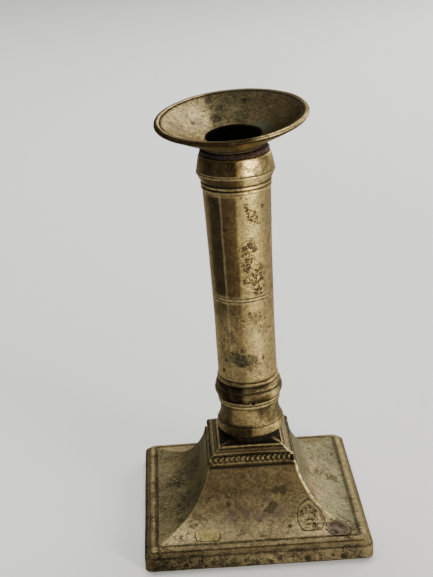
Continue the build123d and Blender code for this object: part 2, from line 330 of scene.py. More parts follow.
def brass_pits(tree, pits, coarse, dark_spots, scabs):
    """Mask of the black marks: pits, fine veins that come and go, lone spots and scabs."""
    gather = tree.step(tree.noise(120.0, 3.0, 0.6), 0.62 - 0.16 * pits, 0.70)
    speck = tree.step(tree.cells(620.0), 0.28, 0.16) * gather
    fine_gather = tree.step(tree.noise(170.0, 2.0), 0.60 - 0.12 * pits, 0.64)
    fine_speck = tree.step(tree.cells(1200.0), 0.32, 0.18) * fine_gather
    vein_gather = tree.step(tree.noise(75.0, 3.0, 0.6), 0.66 - 0.16 * coarse, 0.70)
    wander = abs(tree.noise(330.0, 4.0, 0.62, 1.0) - 0.5)
    vein = tree.step(wander, 0.012, 0.004) * vein_gather
    marks = speck.most(fine_speck * 0.85).most(vein * 0.75)
    if dark_spots:
        marks = marks.most(tree.blots(dark_spots, 2.4, 900.0))
    if scabs:
        # Scabby corrosion: wandering dark outlines round flakes, and crumbs between them.
        outline = abs(tree.noise(400.0, 3.0, 0.6, 0.8) - 0.5)
        crumbs = tree.step(tree.noise(650.0, 5.0, 0.6), 0.54, 0.58)
        scab = tree.step(outline, 0.040, 0.018).most(crumbs * 0.9)
        marks = marks.most(scab * tree.blots(scabs, 3.0))
    return marks


def brass(name, shade, tone=0.0, dark_spots=(), green_spots=(), pink_spots=(), scabs=(),
          pits=0.5, cloud=0.28, gloss=0.5, coarse=0.4, rubbed=0.75, keen=0.0):
    """Old brass: a mottled patina with pits, worn at its arrises and black in its recesses, with painted
    light and shade laid on it.
    """
    tree = Tree(name)
    clouds = tree.noise(45.0, 4.0, 0.55, 0.4)
    patches = tree.noise(300.0, 7.0, 0.68, 0.5)
    mottle = tree.noise(900.0, 5.0, 0.72, 0.4)
    grain = tree.noise(2600.0, 3.0, 0.7)
    value = 0.5 + tone
    weights = (cloud, 0.36, 0.28 + coarse * 0.24, 0.18)
    for layer, weight in zip((clouds, patches, mottle, grain), weights):
        value = (layer - 0.5) * weight + value
    colour = tree.tint(tree.ramp(value, PATINA), shade(tree))

    # Darker islands of patina with crisp edges, large and small.
    island = tree.step(tree.noise(130.0, 7.0, 0.66, 0.6), 0.575, 0.605)
    islet = tree.step(tree.noise(520.0, 5.0, 0.70, 0.8), 0.60, 0.635)
    island = (island * (0.34 + 0.2 * coarse)).most(islet * (0.5 + 0.25 * coarse))
    colour = tree.mix(island, colour, DARK)
    if pink_spots:
        colour = tree.mix(tree.blots(pink_spots, 5.0) * 0.7, colour, PINK)
    if green_spots:
        colour = tree.mix(tree.blots(green_spots, 4.0), colour, VERDIGRIS)
    pit = brass_pits(tree, pits, coarse, dark_spots, scabs)
    colour = tree.mix(pit * 0.88, colour, BLACK_PATINA_AND_SHADE)

    # Wear on the arrises and dirt in the recesses, broken up by noise; they also carry painted highlights
    # on some edges and painted shade under the foot and in the hollow. Keen leaves only the worst wear.
    breakup = tree.noise(700.0, 4.0, 0.6)
    wear_and_highlight = tree.attribute("wear_and_highlight")
    if keen:
        wear_and_highlight = (wear_and_highlight - keen).clamped()
    wear_and_highlight = wear_and_highlight * tree.step(breakup, 0.20, 0.62)
    dirt_and_shade = tree.attribute("grime_and_shade") * tree.step(breakup, 0.95, 0.42)
    painted_bore_shade = tree.attribute("painted_bore_shade")
    colour = tree.mix((dirt_and_shade * 1.1).clamped(), colour, BLACK_PATINA_AND_SHADE)
    bright = tree.mix(tree.step(wear_and_highlight, 0.80, 1.2), SAND, WORN_AND_HIGHLIGHT)
    colour = tree.mix((wear_and_highlight * rubbed).clamped(), colour, bright)
    # Painted shade: the socket's bore is made nearly black.
    colour = tree.mix((painted_bore_shade * 0.97).clamped(), colour, BLACK_PATINA_AND_SHADE)

    stain = pit.most(dirt_and_shade).most(painted_bore_shade)
    rough = patches * 0.24 + (0.46 - 0.40 * gloss) + island * 0.20 + stain * 0.35
    metal = stain * -0.25 + 0.97
    stretched = tree.node("Mapping", {
        "Vector": tree.place, "Rotation": (0.25, 0.6, 0.3), "Scale": (1.0, 1.0, 0.12),
    }, "Vector")
    scratch = tree.step(tree.noise(2600.0, 2.0, 0.5, 0.0, stretched), 0.60, 0.68)
    relief = patches * 0.35 - pit + mottle * 0.45 - island * 0.3 + grain * 0.14 - scratch * 0.08
    tree.put(tree.shader.inputs["Specular Tint"], BRASS_SPECULAR_TINT)
    return tree.finished(colour, rough.clamped(), metal.clamped(), tree.bump(relief, 0.6, 0.00032))


def with_back(tree, near, front, back):
    """The column's painted light and shade at its front, and one plain tint round its back."""
    return tree.mix(tree.step(near, 0.15, -0.35), front, back)


def shaft_painted_light(tree):
    """Column: painted shade, dark brown, down its left with a thin painted reflection streak in it, a
    golden painted highlight across the front and a duller olive right.
    """
    across, near, up = tree.round_column(0.14)
    front = tree.ramp(across, [
        (0.03, (0.42, 0.40, 0.36)), (0.08, (0.085, 0.08, 0.075)), (0.205, (0.075, 0.07, 0.065)),
        (0.230, (0.46, 0.43, 0.40)), (0.252, (0.16, 0.13, 0.11)), (0.43, (0.29, 0.225, 0.165)),
        (0.475, (0.90, 0.84, 0.58)), (0.74, (1.06, 0.98, 0.68)), (0.84, (0.86, 0.81, 0.60)),
        (0.95, (0.72, 0.64, 0.60)),
    ])
    # Lower down the painted shade is weaker: the colour is lifted towards gold below about 62 mm.
    low_painted_light = tree.ramp(across, [(0.5, (0.45,) * 3), (0.65, (0.75,) * 3)])
    front = tree.mix(tree.step(up, 62.0, 38.0) * low_painted_light, front, (1.06, 0.98, 0.78))
    return with_back(tree, near, front, (0.46, 0.44, 0.40))


def foot_painted_light(tree):
    """Foot: painted shade at its left and bands of painted highlight that change from moulding to moulding.
    """
    across, near, up = tree.round_column(0.18)
    torus = tree.ramp(across, [
        (0.03, (0.24, 0.23, 0.20)), (0.12, (0.035, 0.030, 0.027)), (0.36, (0.075, 0.070, 0.055)),
        (0.43, (0.72, 0.72, 0.58)), (0.51, (0.36, 0.31, 0.24)), (0.68, (0.20, 0.18, 0.13)),
        (0.78, (0.50, 0.46, 0.36)), (0.87, (2.3, 2.2, 1.7)), (0.96, (0.40, 0.38, 0.34)),
    ])
    neck = tree.ramp(across, [
        (0.04, (0.28, 0.27, 0.24)), (0.13, (0.14, 0.12, 0.09)), (0.24, (0.75, 0.68, 0.50)),
        (0.40, (1.20, 1.10, 0.82)), (0.54, (0.86, 0.79, 0.60)), (0.64, (0.30, 0.27, 0.20)),
        (0.78, (0.36, 0.32, 0.24)), (0.89, (1.0, 0.95, 0.72)), (0.97, (0.40, 0.38, 0.34)),
    ])
    flange = tree.ramp(across, [
        (0.04, (0.40, 0.36, 0.34)), (0.16, (0.12, 0.10, 0.08)), (0.47, (0.11, 0.10, 0.08)),
        (0.51, (0.55, 0.49, 0.37)), (0.76, (1.1, 1.0, 0.72)), (0.89, (2.5, 2.3, 1.6)),
        (0.97, (0.70, 0.66, 0.54)),
    ])
    front = tree.mix(tree.step(up, 12.6, 13.4), neck, torus)
    front = tree.mix(tree.step(up, 5.2, 4.0), front, flange)
    return with_back(tree, near, front, (0.42, 0.40, 0.36))


def collar_painted_light(tree):
    """Collar: painted shade, nearly black at its left, red-brown in the middle and a bright painted
    highlight at its right.
    """
    across, near, _ = tree.round_column(0.20)
    front = tree.ramp(across, [
        (0.04, (0.28, 0.26, 0.22)), (0.12, (0.10, 0.09, 0.08)), (0.26, (0.12, 0.105, 0.09)),
        (0.46, (0.21, 0.155, 0.11)), (0.53, (0.75, 0.64, 0.44)), (0.61, (2.3, 2.1, 1.5)),
        (0.80, (1.7, 1.6, 1.15)), (0.93, (0.70, 0.66, 0.54)),
    ])
    return with_back(tree, near, front, (0.42, 0.40, 0.36))


def pan_painted_light(tree):
    """Pan: painted highlight gold at its left, painted shade olive at its right and below; painted dark
    edge, lit at front right.
    """
    place = pan_place()
    offset = tree.vector("SUBTRACT", tree.place, place.translation)
    right = tree.part(offset, 0) / MM
    front = tree.part(offset, 1) / -MM
    along = tree.dot(offset, place.to_3x3() @ Vector((0, 0, 1)))
    distance = tree.length(offset)
    radius = (distance * distance - along * along).root() / MM
    drift = (tree.noise(120.0, 6.0, 0.7) - 0.5) * 20.0
    # Painted light and shade on the upper side, gold highlight at the left; the underside gets a painted
    # shade of its own.
    top = tree.ramp((right + drift) / 60.0 + 0.5, [
        (0.06, (2.1, 2.05, 1.85)), (0.30, (1.45, 1.40, 1.20)), (0.41, (0.30, 0.30, 0.26)),
        (0.55, (0.13, 0.135, 0.115)), (0.92, (0.17, 0.155, 0.135)),
    ])
    below = tree.mix(tree.step(right, -16.0, -2.0), (0.26, 0.24, 0.20), (0.52, 0.46, 0.36))
    shade = tree.mix(tree.step(tree.part(tree.facing, 2), 0.05, -0.15), top, below)
    scribed = tree.step(abs(radius - SCRIBED_RADIUS), 0.26, 0.12)
    shade = tree.mix(scribed * 0.8, shade, (0.06, 0.05, 0.04))
    # The edge: painted shade, darkest at the front, with a painted highlight at the front right.
    edge = tree.mix(tree.step(front, -6.0, 6.0), (0.24, 0.23, 0.19), (0.050, 0.034, 0.026))
    lit = tree.step(front, -10.0, 0.0) * tree.step(right, 3.0, 14.0)
    edge = tree.mix(lit * tree.step(along, 0.0098, 0.0102), edge, (1.5, 1.42, 1.15))
    return tree.mix(tree.step(radius, 26.85, 27.15), shade, edge)


def yellow_shade(tree):
    """Left repair: a yellower brass."""
    return tree.ramp(tree.noise(260.0), [(0.35, (0.92, 0.90, 0.70)), (0.65, (0.74, 0.76, 0.44))])


def purple_shade(tree):
    """Solder: dull and purplish."""
    return tree.ramp(tree.noise(330.0), [(0.38, (0.22, 0.19, 0.25)), (0.62, (0.78, 0.74, 0.98))])


def base_tint_and_painted_shade(tree):
    """Base: painted shade, dark towards its neck and darker on its left face, which is also greener; greyer
    on its right face.
    """
    x_out = tree.part(tree.place, 0) / MM
    y_out = abs(tree.part(tree.place, 1) / MM)
    height = tree.part(tree.place, 2) / MM
    reach = abs(x_out).most(y_out)
    neck = tree.step(height, 8.0, 20.0)
    front = tree.mix(neck, (1.18, 1.15, 1.04), (0.36, 0.325, 0.275))
    left = tree.mix(neck, (0.56, 0.57, 0.50), (0.32, 0.34, 0.31))
    right = tree.mix(neck, (0.70, 0.80, 0.80), (0.58, 0.67, 0.70))
    pinkish = tree.step(tree.noise(70.0, 4.0, 0.6), 0.48, 0.60) * tree.step(reach, 34.0, 24.0)
    right = tree.mix(pinkish * 0.8, right, (0.95, 0.84, 0.84))
    shade = tree.mix(tree.step(x_out + y_out, 0.4, -0.4), front, left)
    shade = tree.mix(tree.step(x_out - y_out, -0.4, 0.4), shade, right)

    # Flat border lighter; bevel and fascia darkened with painted shade, most of all towards the left
    # corner.
    shade = tree.mix(tree.step(reach, 38.7, 39.1) * 0.85, shade, (1.55, 1.50, 1.32))
    fascia = tree.ramp(x_out / 90.0 + 0.5, [
        (0.02, (0.26, 0.25, 0.20)), (0.30, (0.66, 0.64, 0.56)), (0.60, (0.98, 0.95, 0.86)),
        (0.95, (0.74, 0.72, 0.64)),
    ])
    fascia = tree.mix(tree.step(height, 5.6, 6.2) * 0.8, fascia, (0.36, 0.34, 0.29))
    outside = tree.step(reach, 40.9, 41.3) * tree.step(height, 7.7, 7.2)
    return tree.mix(outside, shade, fascia)


# ---------------------------------------------------------------- packing and iron


def packing_material():
    """Dark red-brown packing, fibrous and crusted with old wax; painted shade makes it blackest at its left
    and painted light lightens its right.
    """
    tree = Tree("packing")
    across, _, _ = tree.round_column(0.3)
    fibres = tree.noise(1000.0, 6.0, 0.75, 1.5)
    crust = tree.noise(420.0, 4.0, 0.6)
    colour = tree.ramp(fibres, [
        (0.38, (0.004, 0.002, 0.001)), (0.50, (0.022, 0.009, 0.005)),
        (0.60, (0.055, 0.024, 0.014)), (0.69, (0.28, 0.20, 0.14)),
    ])
    # Painted shade at the left and painted light at the right.
    colour = tree.tint(colour, tree.ramp(across, [
        (0.20, (0.25, 0.22, 0.22)), (0.55, (0.9, 0.9, 0.9)), (0.80, (1.5, 1.4, 1.3)),
    ]))
    tree.put(tree.shader.inputs["Specular IOR Level"], 0.25)
    return tree.finished(colour, crust * 0.3 + 0.6, 0.0, tree.bump(fibres + crust, 0.9, 0.0007))


def iron_material():
    """Dark iron with brown rust."""
    tree = Tree("rusted iron")
    rust = tree.noise(520.0, 6.0, 0.7, 0.5)
    colour = tree.ramp(rust, [
        (0.35, (0.020, 0.016, 0.014)), (0.52, (0.060, 0.040, 0.028)), (0.68, (0.16, 0.075, 0.035)),
    ])
    relief = tree.bump(rust, 0.6, 0.0003)
    return tree.finished(colour, rust * 0.4 + 0.35, tree.step(rust, 0.62, 0.42), relief)


# ---------------------------------------------------------------- outlines


def rounded(points, steps=3):
    """Closed outline with its corners rounded: a point is (x, z) or (x, z, fillet)."""
    result = []
    for before, point, after in zip(points[-1:] + points[:-1], points, points[1:] + points[:1]):
        here = Vector(point[:2])
        if len(point) < 3:
            result.append(here)
            continue
        back, ahead = Vector(before[:2]) - here, Vector(after[:2]) - here
        start = here + back.normalized() * min(point[2], 0.45 * back.length)
        end = here + ahead.normalized() * min(point[2], 0.45 * ahead.length)
        for step in range(steps + 1):
            t = step / steps
            result.append(start * (1 - t) ** 2 + here * 2 * t * (1 - t) + end * t ** 2)
    return result


def arc(start, middle, end, count):
    """Points on the circle through three points, without its ends."""
    a, b, c = Vector(start), Vector(middle), Vector(end)
    area = 2 * (a.x * (b.y - c.y) + b.x * (c.y - a.y) + c.x * (a.y - b.y))
    across = a.length_squared * (b.y - c.y) + b.length_squared * (c.y - a.y)
    across += c.length_squared * (a.y - b.y)
    upward = a.length_squared * (c.x - b.x) + b.length_squared * (a.x - c.x)
    upward += c.length_squared * (b.x - a.x)
    centre = Vector((across / area, upward / area))
    first, through, last = (math.atan2(p.y - centre.y, p.x - centre.x) for p in (a, b, c))
    half_turn = math.pi
    sweep = (last - first + half_turn) % (2 * half_turn) - half_turn
    through = (through - first + half_turn) % (2 * half_turn) - half_turn
    if through * sweep < 0:
        sweep -= math.copysign(2 * half_turn, sweep)
    radius = (a - centre).length
    points = []
    for index in range(1, count + 1):
        angle = first + sweep * index / (count + 1)
        points.append((centre.x + radius * math.cos(angle), centre.y + radius * math.sin(angle)))
    return points


def smooth_curve(points, start_slope, end_slope, count):
    """Smooth curve through the points (Catmull-Rom, with given end directions), ends included."""
    nodes = [Vector(point) for point in points]
    slopes = [Vector(start_slope).normalized() * (nodes[1] - nodes[0]).length]
    slopes += [(after - before) / 2 for before, after in zip(nodes, nodes[2:])]
    slopes.append(Vector(end_slope).normalized() * (nodes[-1] - nodes[-2]).length)
    result = []
    for here, after, leave, arrive in zip(nodes, nodes[1:], slopes, slopes[1:]):
        for step in range(count):
            t = step / count
            point = here * (2 * t ** 3 - 3 * t ** 2 + 1) + leave * (t ** 3 - 2 * t ** 2 + t)
            point += after * (3 * t ** 2 - 2 * t ** 3) + arrive * (t ** 3 - t ** 2)
            result.append(tuple(point))
    return result + [tuple(nodes[-1])]


def divided(outline, longest, support=0.25):
    """Closed outline whose long runs are divided, with a short run kept beside each corner."""
    result = []
    for index, here in enumerate(outline):
        after = outline[(index + 1) % len(outline)]
        run = (after - here).length
        result.append(here)
        if run > 4 * support:
            inner = run - 2 * support
            pieces = max(1, math.ceil(inner / longest))
            for piece in range(pieces + 1):
                result.append(here.lerp(after, (support + inner * piece / pieces) / run))
    return result


def turning(outline, spread):
    """Wear and grime of a closed outline: how sharply it bends outward or inward near each point."""
    count = len(outline)
    area = sum(a.x * b.y - b.x * a.y for a, b in zip(outline, outline[1:] + outline[:1]))
    sign = 1.0 if area > 0 else -1.0
    bends = []
    places = [0.0]
    for index in range(count):
        before = outline[index] - outline[index - 1]
        after = outline[(index + 1) % count] - outline[index]
        bends.append(sign * math.atan2(before.x * after.y - before.y * after.x, before.dot(after)))
        places.append(places[-1] + after.length)
    total = places[-1]
    wear_and_highlight, grime_and_shade = [], []
    for index in range(count):
        out_bend = in_bend = 0.0
        for other in range(count):
            gap = abs(places[index] - places[other])
            gap = min(gap, total - gap)
            if gap > 4 * spread or abs(bends[other]) < 0.02:
                continue
            weight = math.exp(-(gap / spread) ** 2)
            if bends[other] > 0:
                out_bend += weight * bends[other]
            else:
                in_bend -= weight * bends[other]
        wear_and_highlight.append(min(1.0, out_bend / 0.9))
        grime_and_shade.append(min(1.0, in_bend / 0.7))
    return wear_and_highlight, grime_and_shade


def polar(radius, angle, height=0.0):
    """Point round the vertical axis."""
    return Vector((radius * math.cos(angle), radius * math.sin(angle), height))


def on_column(radius, angle, height):
    """Place in metres of a point given round the column in millimetres."""
    return COLUMN @ (polar(radius, angle, height) * MM)


# ---------------------------------------------------------------- meshes


def new_piece(name, vertices, faces, wear_and_highlight, grime_and_shade):
    """Smooth-shaded object from metres, carrying on its points how worn and how dirty it is, with painted
    highlights and painted shade mixed in, and the painted shade of a bore.
    """
    mesh = bpy.data.meshes.new(name)
    mesh.from_pydata(vertices, [], faces)
    for label, values in (("wear_and_highlight", wear_and_highlight), ("grime_and_shade", grime_and_shade), ("painted_bore_shade", [0.0] * len(vertices))):
        layer = mesh.attributes.new(label, "FLOAT", "POINT")
        layer.data.foreach_set("value", values)
    mesh.shade_smooth()
    piece = bpy.data.objects.new(name, mesh)
    bpy.context.scene.collection.objects.link(piece)
    return piece


def loops_to_faces(loops, around, closed=True):
    """Quads between neighbouring loops of equal length."""
    faces = []
    for loop in range(loops if closed else loops - 1):
        following = (loop + 1) % loops
        for index in range(around):
            after = (index + 1) % around
            faces.append((
                loop * around + index, loop * around + after,
                following * around + after, following * around + index,
            ))
    return faces


def skin(name, loops, wear_and_highlight, grime_and_shade):
    """Closed piece from loops of points, with one value of wear and one of grime for each loop."""
    around = len(loops[0])
    return new_piece(
        name,
        [point for loop in loops for point in loop],
        loops_to_faces(len(loops), around),
        [value for value in wear_and_highlight for _ in range(around)],
        [value for value in grime_and_shade for _ in range(around)],
    )


def lathe(name, outline, place, segments=176, spread=0.35):
    """Turned piece from a closed outline of radii and heights."""
    wear_and_highlight, grime_and_shade = turning(outline, spread)
    angles = [2 * math.pi * index / segments for index in range(segments)]
    loops = []
    for point in outline:
        loops.append([place @ (polar(point.x, angle, point.y) * MM) for angle in angles])
    return skin(name, loops, wear_and_highlight, grime_and_shade)


def column_points(piece):
    """Each vertex of a piece, its place in the column's frame, and its radius and height in mm."""
    inverse = COLUMN.inverted()
    for vertex in piece.data.vertices:
        local = inverse @ vertex.co
        yield vertex, local, math.hypot(local.x, local.y) / MM, local.z / MM


def dent(piece, depth, size, seed=0.0):
    """Uneven hand-worked surface: every point moves along its normal by a slow noise."""
    mesh = piece.data
    shift = Vector((seed, seed * 0.7, seed * 1.3))
    normals = [vertex.normal.copy() for vertex in mesh.vertices]
    for vertex, normal in zip(mesh.vertices, normals):
        wave = noise.noise(vertex.co / (size * MM) + shift)
        ripple = noise.noise(vertex.co / (size * 0.35 * MM) + shift) * 0.35
        vertex.co += normal * (wave + ripple) * depth * MM


def face_outward(piece):
    """Makes every face point outward."""
    work = bmesh.new()
    work.from_mesh(piece.data)
    bmesh.ops.recalc_face_normals(work, faces=work.faces)
    work.to_mesh(piece.data)
    work.free()


def join(first, *others):
    """Joins meshes into the first piece."""
    for other in others:
        other.select_set(True)
    with bpy.context.temp_override(active_object=first, selected_editable_objects=[first, *others]):
        bpy.ops.object.join()
    return first


def cut(piece, tool):
    """Takes the tool's volume out of the piece, and applies it."""
    bpy.context.view_layer.update()
    modifier = piece.modifiers.new("cut", "BOOLEAN")
    modifier.operation = "DIFFERENCE"
    modifier.solver = "EXACT"
    modifier.object = tool
    evaluated = piece.evaluated_get(bpy.context.evaluated_depsgraph_get())
    mesh = bpy.data.meshes.new_from_object(evaluated)
    piece.modifiers.clear()
    piece.data = mesh
    bpy.data.objects.remove(tool)


def finish_piece(piece, body, slot, material, *nodes):
    """Gives a piece its material and its body, and hides the CAD nodes that it stands for; its slot is not
    used.
    """
    face_outward(piece)
    piece.data.materials.clear()
    piece.data.materials.append(material)
    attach(piece, body)
    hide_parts(*nodes)


# ---------------------------------------------------------------- base

ALONG = 44
CORNER_STEPS = 6
PER_SIDE = ALONG + CORNER_STEPS
QUARTER = math.pi / 2
NECK_HALF = 17.4
SLOPE_ENDS = ((-1, 0.1), (-0.07, 1))
RISE = smooth_curve([(38.4, 7.9), (27.3, 11.6), (21.2, 18.1), (NECK_HALF, 28.1)], *SLOPE_ENDS, 14)
INNER_RISE = smooth_curve([(37.2, 5.3), (26.1, 9.2), (19.0, 16.4), (14.8, 28.1)], *SLOPE_ENDS, 8)
BOSS_RADIUS_HIDDEN = 11.4
BOSS = [
    (10.6, -3.3), (10.6, -2.9), (10.6, -0.3), (10.5, 0.0), (3.4, 0.0), (3.15, -0.2),
    (3.15, -8.8), (3.4, -9.0), (8.2, -9.0), (8.5, -8.7), (8.5, -7.6),
]
HOLLOW = [(11.4, 31.2), (13.2, 31.2)] + INNER_RISE[::-1] + [(40.6, 3.4), (40.8, 3.0), (40.8, 0.4)]
# Painted shadow on the boss under the foot's flange, and painted shade in the hollow underneath.
BOSS_PAINTED_SHADOW, HOLLOW_PAINTED_SHADE = 1.0, 0.55
# Wear of the four arrises, the front right one raised by a painted highlight: front right, back right, back
# left, front left.
ARRIS_WEAR_AND_HIGHLIGHT = (1.35, 0.6, 0.6, 0.42)
BORDER_ARRIS_WEAR = 0.15
CAST_DEPTH, CAST_SIZE = 0.10, 14.0


def square_loop(half, corner, height):
    """Square loop with rounded corners, from the front side round to the left."""
    straight = half - corner
    points = []
    for side in range(4):
        turn = Matrix.Rotation(side * QUARTER, 4, "Z")
        for index in range(ALONG + 1):
            points.append(turn @ Vector((straight * (2 * index / ALONG - 1), -half, height)) * MM)
        for index in range(1, CORNER_STEPS):
            angle = -QUARTER + QUARTER * index / CORNER_STEPS
            points.append(turn @ (Vector((straight, -straight, height)) + polar(corner, angle)) * MM)
    return points


def round_loop(radius, height):
    """Round loop about the column's axis, height from the seat, in step with square_loop."""
    angles = [-QUARTER + QUARTER * (index - ALONG / 2) / PER_SIDE for index in range(4 * PER_SIDE)]
    return [on_column(radius, angle, height) for angle in angles]


def base_outline():
    """Outer half-outline of the base: (half-size, height, fillet) from the rim up to the platform."""
    lower = [
        (BASE_HALF - 2.6, 0.0, 0.2), (BASE_HALF, 0.0, 0.5), (BASE_HALF, 5.75, 0.55),
        (41.75, 5.95, 0.1), (41.45, 6.3, 0.1), (41.35, 7.2, 0.3), (40.5, 7.9, 0.45),
        (38.95, 7.9, 0.1), (38.68, 7.5, 0.05), (38.4, 7.9, 0.1),
    ]
    upper = [
        (NECK_HALF - 0.05, 28.3, 0.15), (16.85, 28.5, 0.1), (16.2, 28.9, 0.2), (15.5, 31.7, 0.2),
        (16.15, 31.95, 0.15), (16.0, 32.25, 0.15), (14.5, 32.5, 0.2), (14.2, 33.0, 0.2),
        (13.7, 33.3, 0.2), (13.2, 33.9, 0.2), (12.2, 34.1, 0.2), (12.0, 34.9, 0.2),
    ]
    return lower + RISE[1:-1] + upper


def base_casting():
    """The cast base as one closed skin: outside, boss, bolt hole and the hollow underneath."""
    outer = divided(rounded(base_outline() + [(0.0, 35.0), (0.0, 0.0)]), 1.4)
    outer = outer[:next(i for i, point in enumerate(outer) if point.x < BOSS_RADIUS_HIDDEN)]
    loops, wear_and_highlight, grime_and_shade = [], [], []
    for point, worn, dirty in zip(outer, *turning(outer, 0.26)):
        on_fascia = point.y < 6.0 and point.x > 42.0
        on_border = point.x > 38.0
        spread = min(1.0, max(0.0, (point.x - 26.0) / 10.0))
        loops.append(square_loop(point.x, 3.0 if on_fascia else 0.4 + 1.4 * spread, point.y))
        for index in range(4 * PER_SIDE):
            side, step = divmod(index, PER_SIDE)
            # Arris values carry wear, and at the front right a painted highlight.
            arris = BORDER_ARRIS_WEAR if point.x > 38.2 else ARRIS_WEAR_AND_HIGHLIGHT[side] * (1.0 - spread)
            on_corner = step > ALONG if side else step >= ALONG
            wear_and_highlight.append(max(worn * (0.35 if on_border else 0.7), arris if on_corner else 0.0))
            grime_and_shade.append(dirty * (0.7 if on_border else 1.0))
    loops += [round_loop(radius, height) for radius, height in BOSS]
    loops += [square_loop(half, 0.8, height) for half, height in HOLLOW]
    wear_and_highlight += [0.0] * len(BOSS + HOLLOW) * 4 * PER_SIDE
    # Painted shadow on the boss and painted shade in the hollow.
    grime_and_shade += [BOSS_PAINTED_SHADOW] * len(BOSS) * 4 * PER_SIDE + [HOLLOW_PAINTED_SHADE] * len(HOLLOW) * 4 * PER_SIDE
    vertices = [point for loop in loops for point in loop]
    casting = new_piece("cast_base", vertices, loops_to_faces(len(loops), 4 * PER_SIDE), wear_and_highlight, grime_and_shade)
    face_outward(casting)
    dent(casting, CAST_DEPTH, CAST_SIZE)
    return join(casting, bead_band())


def bead_band():
    """Upright beads round the top of the base, each a little different, worn at each side's start."""
    gaps_per_side = 16
    centre_half = 16.3
    low, high = 29.0, 31.75
    pitch = 2 * centre_half / gaps_per_side
    rings, around = 9, 12
    vertices, faces, wear_and_highlight, grime_and_shade = [], [], [], []
    for side in range(4):
        turn = Matrix.Rotation(side * QUARTER, 4, "Z")
        for index in range(gaps_per_side):
            worn = random.uniform(0.3, 0.6) if index < 8 else random.uniform(0.0, 0.25)
            middle = Vector((
                -centre_half + pitch * index + random.uniform(-0.15, 0.15),
                -centre_half + 0.2 + worn,
                (low + high) / 2 + random.uniform(-0.06, 0.06),
            ))
            width = 0.84 * random.uniform(0.85, 1.05)
            tall = (high - low) / 2 * random.uniform(0.94, 1.03)
            first = len(vertices)
            for ring in range(1, rings):
                lift = -math.cos(math.pi * ring / rings)
                girth = width * math.sin(math.pi * ring / rings) ** 0.6
                for step in range(around):
                    angle = 2 * math.pi * step / around
                    vertices.append(turn @ (middle + polar(girth, angle, tall * lift)) * MM)
                    wear_and_highlight.append(0.3 if math.sin(angle) < -0.8 and lift > 0.0 else 0.0)
                    grime_and_shade.append(max(0.15, 0.95 + math.sin(angle)))
            for face in loops_to_faces(rings - 1, around, closed=False):
                faces.append(tuple(first + corner for corner in face))
            faces.append(tuple(first + step for step in reversed(range(around))))
            faces.append(tuple(first + (rings - 2) * around + step for step in range(around)))
    return new_piece("beads", vertices, faces, wear_and_highlight, grime_and_shade)


def slope_height(x, y):
    """Height of the base's upper surface at a place, in millimetres."""
    half = max(abs(x), abs(y))
    if half >= RISE[0][0]:
        return RISE[0][1]
    for (a, low), (b, high) in zip(RISE, RISE[1:]):
        if b <= half <= a:
            return low + (high - low) * (a - half) / (a - b)
    return RISE[-1][1]


def let_in(name, plan, proud, depth):
    """Repair let into the slope: its top follows the slope and its edge is dark."""
    count = len(plan)
    centre = sum(plan, Vector((0, 0))) / count
    shares = [1.0, 1.0, 0.99, 0.95, 0.88, 0.75, 0.6, 0.45, 0.3, 0.15]
    lifts = [-depth, -0.10] + [proud] * (len(shares) - 2)
    # The ring just inside the edge is lighter, partly wear and partly a painted highlight.
    share_wear_and_highlight = {0.88: 0.4}
    share_grime = {1.0: 1.0, 0.99: 1.0, 0.95: 0.45}
    vertices, wear_and_highlight, grime_and_shade = [], [], []
    for share, lift in zip(shares, lifts):
        for point in plan:
            spot = centre.lerp(point, share)
            vertices.append(Vector((spot.x, spot.y, slope_height(spot.x, spot.y) + lift)) * MM)
        wear_and_highlight += [share_wear_and_highlight.get(share, 0.0)] * count
        grime_and_shade += [share_grime.get(share, 0.0)] * count
    faces = loops_to_faces(len(shares), count, closed=False)
    vertices.append(Vector((centre.x, centre.y, slope_height(*centre) + proud)) * MM)
    wear_and_highlight.append(0.0)
    grime_and_shade.append(0.0)
    top = len(vertices) - 1
    last = top - count
    faces += [(last + index, last + (index + 1) % count, top) for index in range(count)]
    faces.append(tuple(reversed(range(count))))
    piece = new_piece(name, vertices, faces, wear_and_highlight, grime_and_shade)
    face_outward(piece)
    dent(piece, CAST_DEPTH, CAST_SIZE)
    return piece


def plan_outline(points, fillet):
    """Closed plan with rounded corners and short even runs."""
    return divided(rounded([(*point, fillet) for point in points], 6), 0.5, 0.2)


def left_repair():
    """Five-sided patch near the front edge, towards the left."""
    plan = [(-23.6, -36.9), (-15.0, -37.4), (-13.9, -33.5), (-20.2, -30.5), (-24.2, -32.3)]
    return let_in("left_repair", plan_outline(plan, 0.8), 0.16, 1.0)


def corner_repair():
    """Larger patch across the front right arris."""
    plan = [
        (15.7, -30.0), (17.2, -35.2), (24.6, -35.0), (26.8, -30.6), (25.4, -26.8), (21.0, -22.6),
        (16.4, -25.0),
    ]
    return let_in("corner_repair", plan_outline(plan, 1.4), 0.16, 1.0)


def solder_fill():
    """Lumpy oval run of solder between the corner repair and the border."""
    centre = Vector((30.9, -34.9))
    long_half, short_half = 5.0, 3.7
    turn = Matrix.Rotation(math.radians(-25), 2)
    count = 48
    plan = []
    for index in range(count):
        angle = 2 * math.pi * index / count
        spot = turn @ Vector((long_half * math.cos(angle), short_half * math.sin(angle)))
        spot *= 1.0 + 0.16 * noise.noise(Vector((spot.x, spot.y, 0.0)) * 0.45)
        plan.append(centre + spot)
    fill = let_in("solder_fill", plan, 0.15, 0.7)
    dent(fill, 0.28, 2.2, 4.0)
    return fill


# ---------------------------------------------------------------- column and nozzle

